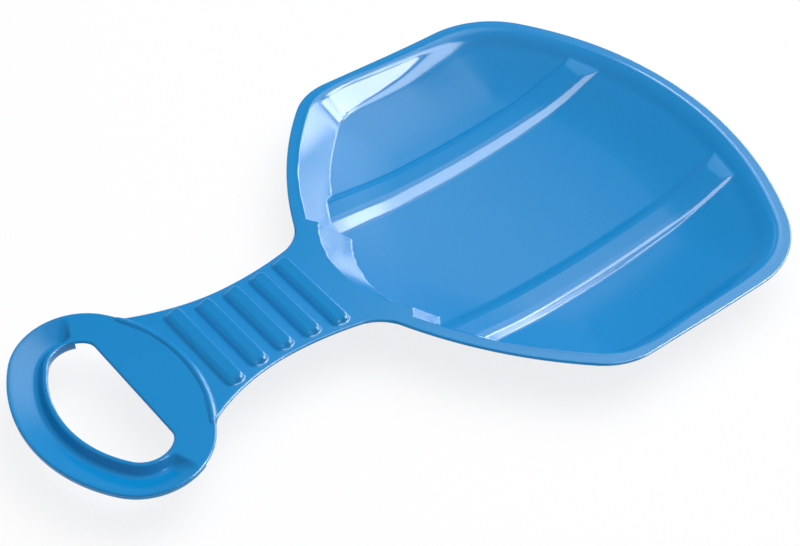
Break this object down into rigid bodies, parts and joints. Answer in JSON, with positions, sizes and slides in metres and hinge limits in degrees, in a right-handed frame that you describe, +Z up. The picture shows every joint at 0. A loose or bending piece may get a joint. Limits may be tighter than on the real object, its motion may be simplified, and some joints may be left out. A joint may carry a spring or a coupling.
{
  "type": "snow slider sled",
  "caption": "Paddle-shaped plastic snow slider: dished seat pan with rolled rim and runner ribs, ribbed neck and oval handle with hand hole.",
  "frame": {"origin": "on the ground under the middle of the bounding box, with the sled lying as it balances on its rocker floor", "axes": "+X across the sled, +Y from the handle to the rear of the seat, +Z up"},
  "size_m": [0.34, 0.5468, 0.0416],
  "materials": {
    "blue_plastic": "glossy moulded polyethylene"
  },
  "bodies": {
    "root": {"handle_grip": "blue_plastic", "handle_plate": "blue_plastic", "neck": "blue_plastic", "grip_rib_1": "blue_plastic", "grip_rib_2": "blue_plastic", "grip_rib_3": "blue_plastic", "grip_rib_4": "blue_plastic", "grip_rib_5": "blue_plastic", "seat_rim": "blue_plastic", "seat_pan": "blue_plastic", "runner_rib_left": "blue_plastic", "runner_rib_right": "blue_plastic"}
  },
  "joints": []
}
